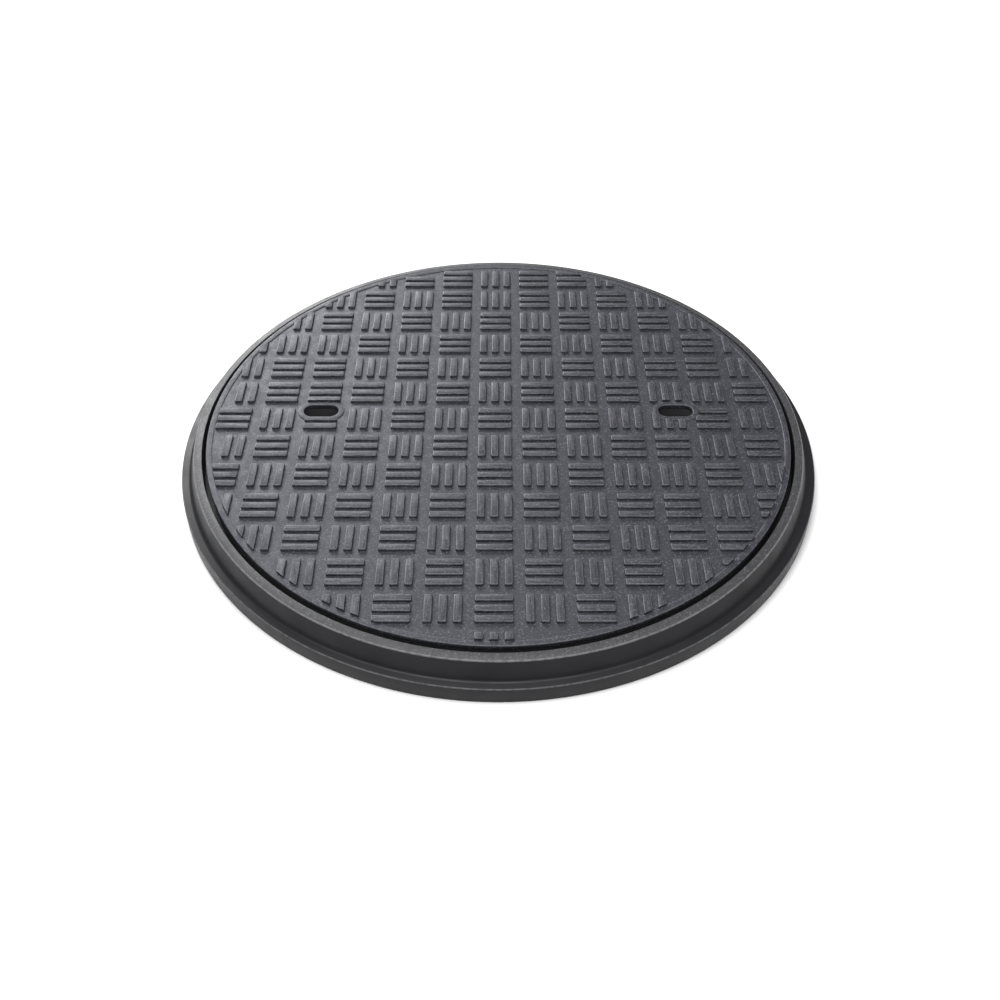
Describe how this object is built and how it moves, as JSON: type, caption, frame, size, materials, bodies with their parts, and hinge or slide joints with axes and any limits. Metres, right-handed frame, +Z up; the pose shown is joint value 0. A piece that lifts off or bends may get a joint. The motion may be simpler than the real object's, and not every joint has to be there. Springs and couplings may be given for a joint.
{
  "type": "manhole cover",
  "caption": "Round composite manhole cover in its frame: the lid, with a raised basket-weave tread and two oblong keyholes, lifts straight out of a flanged ring.",
  "frame": {"origin": "on the cover's centre line, in the plane of the frame's foot", "axes": "+Z up out of the ground; X runs through the two keyholes' length, +X towards the right one; +Y is the side to which the keyholes are offset"},
  "size_m": [0.6999, 0.7, 0.047],
  "materials": {
    "tread_composite": "glass-filled composite, gritty anti-slip face",
    "core_composite": "glass-filled composite, as moulded",
    "frame_composite": "glass-filled composite, satin outside and gritty on the rim",
    "reinforcing_steel": "plain reinforcing steel with mill scale",
    "plate_steel": "stainless, brushed",
    "screw_steel": "stainless",
    "cup_plastic": "black polypropylene",
    "gasket_rubber": "matt black"
  },
  "bodies": {
    "frame": {"frame_ring": "frame_composite", "frame_rim_hoop": "reinforcing_steel", "frame_foot_hoop": "reinforcing_steel", "seat_gasket": "gasket_rubber"},
    "lid": {"lid_tread": "tread_composite", "lid_core": "core_composite", "lid_ribs_x": "core_composite", "lid_ribs_y": "core_composite", "lid_bars_x": "reinforcing_steel", "lid_bars_y": "reinforcing_steel", "lid_skirt_hoop": "reinforcing_steel", "lid_rim_hoop": "reinforcing_steel", "keyhole_plate_left": "plate_steel", "keyhole_plate_right": "plate_steel", "key_cup_gasket_left": "gasket_rubber", "key_cup_gasket_right": "gasket_rubber", "key_cup_left": "cup_plastic", "key_cup_right": "cup_plastic", "key_cup_screws_left": "screw_steel", "key_cup_screws_right": "screw_steel"}
  },
  "joints": [
    {"name": "lid_lift", "type": "slide", "parent": "frame", "child": "lid", "axis": [0, 0, 1], "range_m": [0, 0.12]}
  ]
}
